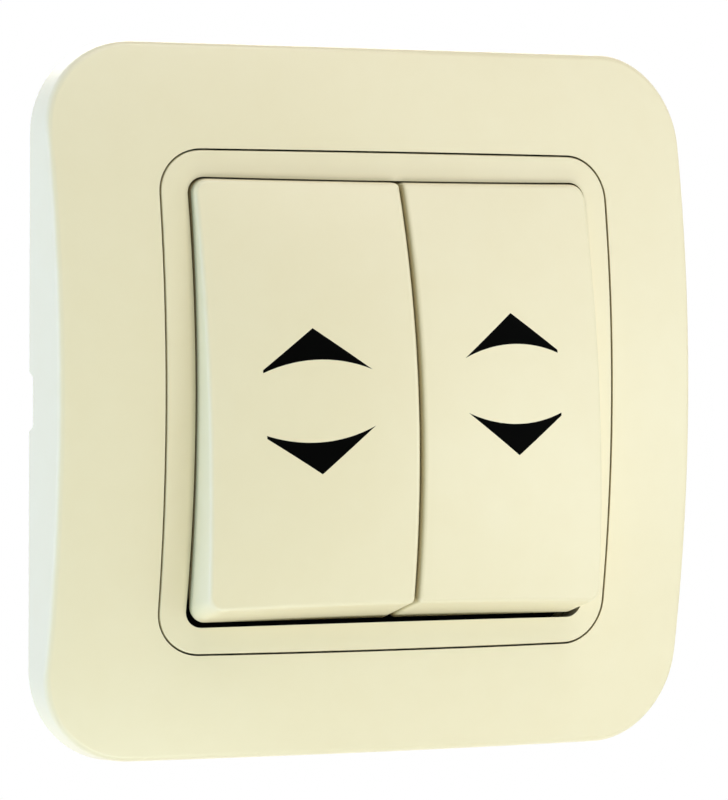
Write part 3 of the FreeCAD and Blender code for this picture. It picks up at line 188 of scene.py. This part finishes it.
def grained_plastic(name, colour, deep_colour, roughness, gloss_level=0.5):
    material, tree, output = new_material(name)
    place = add_node(tree, "ShaderNodeTexCoord").outputs["Object"]
    flow = add_node(tree, "ShaderNodeTexNoise",
                    {"Vector": place, "Scale": waves_per_metre(FLOW_CLOUD), "Detail": 4.0,
                     "Distortion": 0.6})
    tone = add_node(tree, "ShaderNodeMix",
                    {"Factor": flow.outputs["Fac"], "A": linear(colour),
                     "B": linear(deep_colour)}, data_type="RGBA")
    pits = add_node(tree, "ShaderNodeTexVoronoi",
                    {"Vector": place, "Scale": waves_per_metre(GRAIN)}, feature="SMOOTH_F1")
    bump = add_node(tree, "ShaderNodeBump",
                    {"Height": pits.outputs["Distance"], "Strength": 0.6,
                     "Distance": GRAIN_DEPTH})
    rough = add_node(tree, "ShaderNodeMapRange",
                     {"Value": flow.outputs["Fac"], **NOISE_SPAN,
                      "To Min": roughness - SKIN_DRIFT, "To Max": roughness + SKIN_DRIFT})
    surface = add_node(tree, "ShaderNodeBsdfPrincipled",
                       {"Base Color": tone.outputs["Result"],
                        "Roughness": rough.outputs["Result"],
                        "IOR": HOUSING_IOR, "Specular IOR Level": gloss_level,
                        "Normal": bump.outputs["Normal"]})
    tree.links.new(surface.outputs["BSDF"], output.inputs["Surface"])
    return material


grey_polyamide = grained_plastic("spark_grained_polyamide_grey", "8F9397", "858A8F", 0.55)
white_acetal = grained_plastic("spark_grained_acetal_white", "EDECE6", "E2E1DA", 0.42)
coated_steel = grained_plastic("dip_coated_steel_black", "0A0A0B", "121213", 0.6,
                               gloss_level=0.1)
print(grey_polyamide.name, white_acetal.name, coated_steel.name)

# %% [markdown]
# The metals are all cold-rolled or drawn, so their finish runs in one direction. Noise that is
# squeezed across the rolling direction gives long scratches, which spread a highlight across
# them. Between them the skin is burnished, in them it is rougher. Zinc plating adds a cloudy,
# bluish patchiness. Brass and silver stay warmer.

# %% Rolled and plated metals
SCRATCH = 0.12 * MM
SCRATCH_RUN = 9.0 * MM
SCRATCH_DEPTH = 0.006 * MM
PLATING_CLOUD = 6.0 * MM
BURNISH = 0.08
WEAR = 0.1


def rolled_metal(name, colour, second_colour, roughness):
    """A metal with rolling marks along Z and a slow change of tone."""
    material, tree, output = new_material(name)
    place = add_node(tree, "ShaderNodeTexCoord").outputs["Object"]
    squeeze = add_node(tree, "ShaderNodeMapping", {"Vector": place,
                       "Scale": (1.0, 1.0, SCRATCH / SCRATCH_RUN)})
    marks = add_node(tree, "ShaderNodeTexNoise",
                     {"Vector": squeeze.outputs["Vector"], "Scale": waves_per_metre(SCRATCH),
                      "Detail": 2.0})
    cloud = add_node(tree, "ShaderNodeTexNoise",
                     {"Vector": place, "Scale": waves_per_metre(PLATING_CLOUD), "Detail": 4.0})
    tone = add_node(tree, "ShaderNodeMix",
                    {"Factor": cloud.outputs["Fac"], "A": linear(colour),
                     "B": linear(second_colour)}, data_type="RGBA")
    rough = add_node(tree, "ShaderNodeMapRange",
                     {"Value": marks.outputs["Fac"], **NOISE_SPAN,
                      "To Min": roughness - BURNISH, "To Max": roughness + WEAR})
    bump = add_node(tree, "ShaderNodeBump",
                    {"Height": marks.outputs["Fac"], "Strength": 0.5,
                     "Distance": SCRATCH_DEPTH})
    surface = add_node(tree, "ShaderNodeBsdfPrincipled",
                       {"Base Color": tone.outputs["Result"], "Metallic": 1.0,
                        "Roughness": rough.outputs["Result"],
                        "Normal": bump.outputs["Normal"]})
    tree.links.new(surface.outputs["BSDF"], output.inputs["Surface"])
    return material


zinc_steel = rolled_metal("zinc_plated_rolled_steel", "BFC3C8", "A9AFB8", 0.38)
spring_steel = rolled_metal("drawn_spring_steel", "A9ABAC", "8E9092", 0.3)
rolled_brass = rolled_metal("rolled_brass", "D9BC78", "C9A75F", 0.3)
silver_alloy = rolled_metal("riveted_silver_alloy", "DEDBD3", "C9C5BB", 0.26)
print(zinc_steel.name, spring_steel.name, rolled_brass.name, silver_alloy.name)

# %% [markdown]
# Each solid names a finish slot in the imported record, so one table from slot to material
# dresses the whole switch, and no solid can be forgotten.

# %% Dress the solids
FINISHES = {
    "cream_gloss_plastic": cream_urea,
    "black_plastic": black_urea,
    "grey_moulded_plastic": grey_polyamide,
    "white_acetal": white_acetal,
    "zinc_plated_steel": zinc_steel,
    "black_coated_steel": coated_steel,
    "spring_steel": spring_steel,
    "brass_strip": rolled_brass,
    "silver_contact": silver_alloy,
}

for node_name, node in nodes.items():
    node.data.materials.clear()
    node.data.materials.append(FINISHES[slot_of_node[node_name]])
print("dressed", len(nodes), "nodes")

# %% [markdown]
# The switch hangs in the air as it would on its wall. A pale floor well below it closes the
# view downwards and takes its shadow. For the camera the floor and the world are lifted to
# white, as a product picture has it. The light that the world gives to the switch itself stays
# low, so the narrow joints stay dark.

# %% Floor and world
FLOOR_DROP = 800 * MM
FLOOR_REACH = 6.0
PALE = "F4F4F2"
WORLD_LIGHT = 0.17
FLOOR_LIFT = 0.8


def seen_directly(tree):
    """1 for rays that show the background itself: from the camera, a gloss or a glass."""
    path = add_node(tree, "ShaderNodeLightPath")
    direct = add_node(tree, "ShaderNodeMath", {0: path.outputs["Is Camera Ray"],
                      1: path.outputs["Is Glossy Ray"]}, operation="MAXIMUM")
    through = add_node(tree, "ShaderNodeMath", {0: direct.outputs["Value"],
                       1: path.outputs["Is Transmission Ray"]}, operation="MAXIMUM")
    return through.outputs["Value"]


def pale_floor():
    material, tree, output = new_material("pale_floor")
    lift = add_node(tree, "ShaderNodeMath",
                    {0: seen_directly(tree), 1: FLOOR_LIFT}, operation="MULTIPLY")
    glow = add_node(tree, "ShaderNodeEmission", {"Strength": lift.outputs["Value"]})
    matt = add_node(tree, "ShaderNodeBsdfDiffuse", {"Color": linear(PALE)})
    both = add_node(tree, "ShaderNodeAddShader",
                    {0: matt.outputs["BSDF"], 1: glow.outputs["Emission"]})
    tree.links.new(both.outputs["Shader"], output.inputs["Surface"])
    return material


bpy.ops.mesh.primitive_plane_add(size=FLOOR_REACH, location=(0, 0, model_box[0][2] - FLOOR_DROP))
floor = bpy.context.object
floor.name = "floor"
floor.data.materials.append(pale_floor())

world = bpy.data.worlds.new("studio")
bpy.context.scene.world = world
world.use_nodes = True
world.node_tree.nodes.clear()
brightness = add_node(world.node_tree, "ShaderNodeMapRange",
                      {"Value": seen_directly(world.node_tree), "To Min": WORLD_LIGHT,
                       "To Max": 1.0})
sky = add_node(world.node_tree, "ShaderNodeBackground",
               {"Color": (1, 1, 1, 1), "Strength": brightness.outputs["Result"]})
add_node(world.node_tree, "ShaderNodeOutputWorld", {"Surface": sky.outputs["Background"]})
print("floor", FLOOR_DROP / MM, "mm below, world light", WORLD_LIGHT)

# %% [markdown]
# Seven soft lights. Two keys stand on the right, one above and one below the switch's own level,
# so the dome's right half is the brighter one and every joint side that faces left stays in
# shade. A top light fills the faces and a light from below reaches the caps' lower bevels. Two
# cool lights stand on the left. The rim light's middle is behind the wall plane, so it reaches
# little more than the frame's side wall. The left light stands almost in that plane and also
# reaches the caps' raised side. Both give light only and aren't mirrored, so no bright line
# runs along the edges. The back light shows the housing and the yoke from behind.

# %% Lights
LIGHTS = {
    "key": {"azimuth": 50, "height": 12, "reach": 1.6, "side": 1.4, "power": 7.9,
            "colour": "E2F8FF"},
    "low key": {"azimuth": 48, "height": -20, "reach": 1.6, "side": 1.6, "power": 7.7,
                "colour": "E9F6FF"},
    "top": {"azimuth": 10, "height": 58, "reach": 1.4, "side": 1.2, "power": 10.3,
            "colour": "FFFDFE"},
    "below": {"azimuth": -5, "height": -55, "reach": 0.8, "side": 0.5, "power": 2.4,
              "colour": "F6FFF4"},
    "rim": {"azimuth": -108, "height": 0, "reach": 0.9, "side": 0.5, "power": 5.8,
            "colour": "B9BCFF", "mirrored": False},
    "left": {"azimuth": -88, "height": 0, "reach": 0.9, "side": 0.6, "power": 3.8,
             "colour": "B4EFFF", "mirrored": False},
    "back": {"azimuth": 165, "height": 25, "reach": 1.4, "side": 1.2, "power": 11.0,
             "colour": "FFFAF2"},
}


def soft_light(name, azimuth, height, reach, side, power, colour, mirrored=True):
    """A square area light that faces the switch: azimuth to the right, height upwards."""
    data = bpy.data.lights.new(name, "AREA")
    data.shape = "SQUARE"
    data.size = side
    data.energy = power
    data.color = linear(colour)[:3]
    turn, lift = math.radians(azimuth), math.radians(height)
    towards = Vector((math.sin(turn) * math.cos(lift), -math.cos(turn) * math.cos(lift),
                      math.sin(lift)))
    lamp = bpy.data.objects.new(name, data)
    lamp.location = towards * reach
    lamp.rotation_euler = towards.to_track_quat("Z", "Y").to_euler()
    lamp.visible_glossy = mirrored
    bpy.context.scene.collection.objects.link(lamp)


for light_name, light in LIGHTS.items():
    soft_light(light_name, **light)
    print(light_name, light["power"], "W")

# %% [markdown]
# The photograph was taken from the left and a hair above, with a long lens. The camera's place
# and lens were found by laying the known square outlines over it, and they are written here as
# an angle, a distance and a focal length.

# %% Camera
AZIMUTH = math.radians(-26.219)
ELEVATION = math.radians(1.360)
ROLL = math.radians(0.277)
DISTANCE = 541.65 * MM
AIM = Vector((1.124 * MM, 0, -0.061 * MM))
FOCAL_LENGTH = 208.5
SENSOR_WIDTH = 36

camera_data = bpy.data.cameras.new("camera")
camera_data.sensor_width = SENSOR_WIDTH
camera_data.lens = FOCAL_LENGTH
camera_data.clip_start = 10 * MM
camera = bpy.data.objects.new("camera", camera_data)
backward = Vector((math.sin(AZIMUTH) * math.cos(ELEVATION),
                   -math.cos(AZIMUTH) * math.cos(ELEVATION), math.sin(ELEVATION)))
level_right = Vector((0, 0, 1)).cross(backward).normalized()
level_up = backward.cross(level_right)
right = math.cos(ROLL) * level_right + math.sin(ROLL) * level_up
up = math.cos(ROLL) * level_up - math.sin(ROLL) * level_right
turn = Matrix((right, up, backward)).transposed().to_4x4()
camera.matrix_world = Matrix.Translation(AIM + backward * DISTANCE) @ turn
bpy.context.scene.collection.objects.link(camera)
bpy.context.scene.camera = camera
bpy.context.scene.view_settings.view_transform = "Standard"
print("camera at", [round(c, 3) for c in camera.location])
